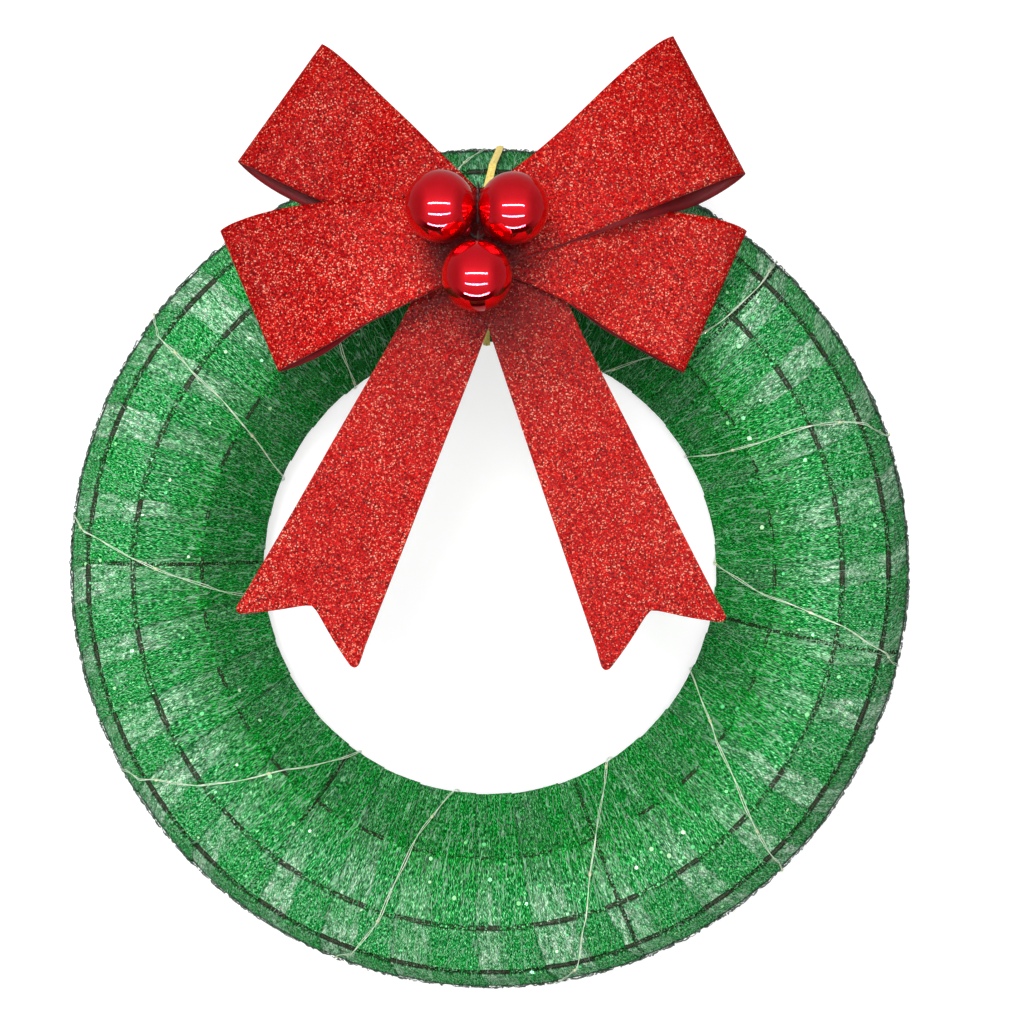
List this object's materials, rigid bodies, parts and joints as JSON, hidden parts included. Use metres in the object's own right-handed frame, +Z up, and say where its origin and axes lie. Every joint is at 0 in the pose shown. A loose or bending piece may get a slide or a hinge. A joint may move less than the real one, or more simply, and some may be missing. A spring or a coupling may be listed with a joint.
{
  "type": "wreath frame",
  "caption": "Round wire wreath frame wrapped in green mesh ribbon, with a wound light string and battery box and a tied-on red bow with baubles, for hanging on a door.",
  "frame": {"origin": "on the flat mesh back at the top of the ring, halfway across the tube, where the wreath rests against the door", "axes": "+Z up as hung, +Y out of the back towards the door, +X to the right seen from the front"},
  "size_m": [0.357, 0.0922, 0.3816],
  "materials": {
    "frame_wire": "satin",
    "green_mesh": "matte",
    "light_wire": "satin",
    "gold_tie": "satin",
    "box_plastic": "satin",
    "knob_plastic": "satin",
    "cell_steel": "satin",
    "bow_wire": "satin",
    "red_glitter": "satin",
    "bauble_red": "polished",
    "cap_red": "gloss"
  },
  "bodies": {
    "wreath": {"outer_back_ring": "frame_wire", "outer_shoulder_ring": "frame_wire", "crown_ring": "frame_wire", "inner_shoulder_ring": "frame_wire", "inner_back_ring": "frame_wire", "crossbar_1": "frame_wire", "crossbar_2": "frame_wire", "crossbar_3": "frame_wire", "crossbar_4": "frame_wire", "crossbar_5": "frame_wire", "crossbar_6": "frame_wire", "mesh_wrap_1": "green_mesh", "mesh_wrap_2": "green_mesh", "mesh_wrap_3": "green_mesh", "mesh_wrap_4": "green_mesh", "mesh_wrap_5": "green_mesh", "mesh_wrap_6": "green_mesh", "mesh_wrap_7": "green_mesh", "mesh_wrap_8": "green_mesh", "light_string": "light_wire", "twist_tie": "gold_tie", "battery_case": "box_plastic", "coin_cell_left": "cell_steel", "coin_cell_right": "cell_steel", "series_contact": "cell_steel", "positive_contact": "cell_steel", "negative_contact": "cell_steel", "switch_body": "box_plastic"},
    "battery_lid": {"battery_lid": "box_plastic"},
    "switch_knob": {"switch_knob": "knob_plastic"},
    "bow": {"bow_left_tail": "red_glitter", "bow_right_tail": "red_glitter", "bow_back_strip": "red_glitter", "bow_front_strip": "red_glitter", "bow_binding_wire": "bow_wire", "bow_tie_eye": "bow_wire", "bauble_left": "bauble_red", "bauble_right": "bauble_red", "bauble_lower": "bauble_red", "bauble_cap_left": "cap_red", "bauble_cap_right": "cap_red", "bauble_cap_lower": "cap_red", "bauble_stem_left": "bow_wire", "bauble_stem_right": "bow_wire", "bauble_stem_lower": "bow_wire"}
  },
  "joints": [
    {"name": "bow_swivel", "type": "hinge", "parent": "wreath", "child": "bow", "pos_m": [-0.003, -0.06, -0.0095], "axis": [0, 1, 0], "range_deg": [-12, 12]},
    {"name": "battery_lid_slide", "type": "slide", "parent": "wreath", "child": "battery_lid", "axis": [1, 0, 0], "range_m": [0, 0.034]},
    {"name": "switch_slide", "type": "slide", "parent": "wreath", "child": "switch_knob", "axis": [1, 0, 0], "range_m": [0, 0.003]}
  ]
}
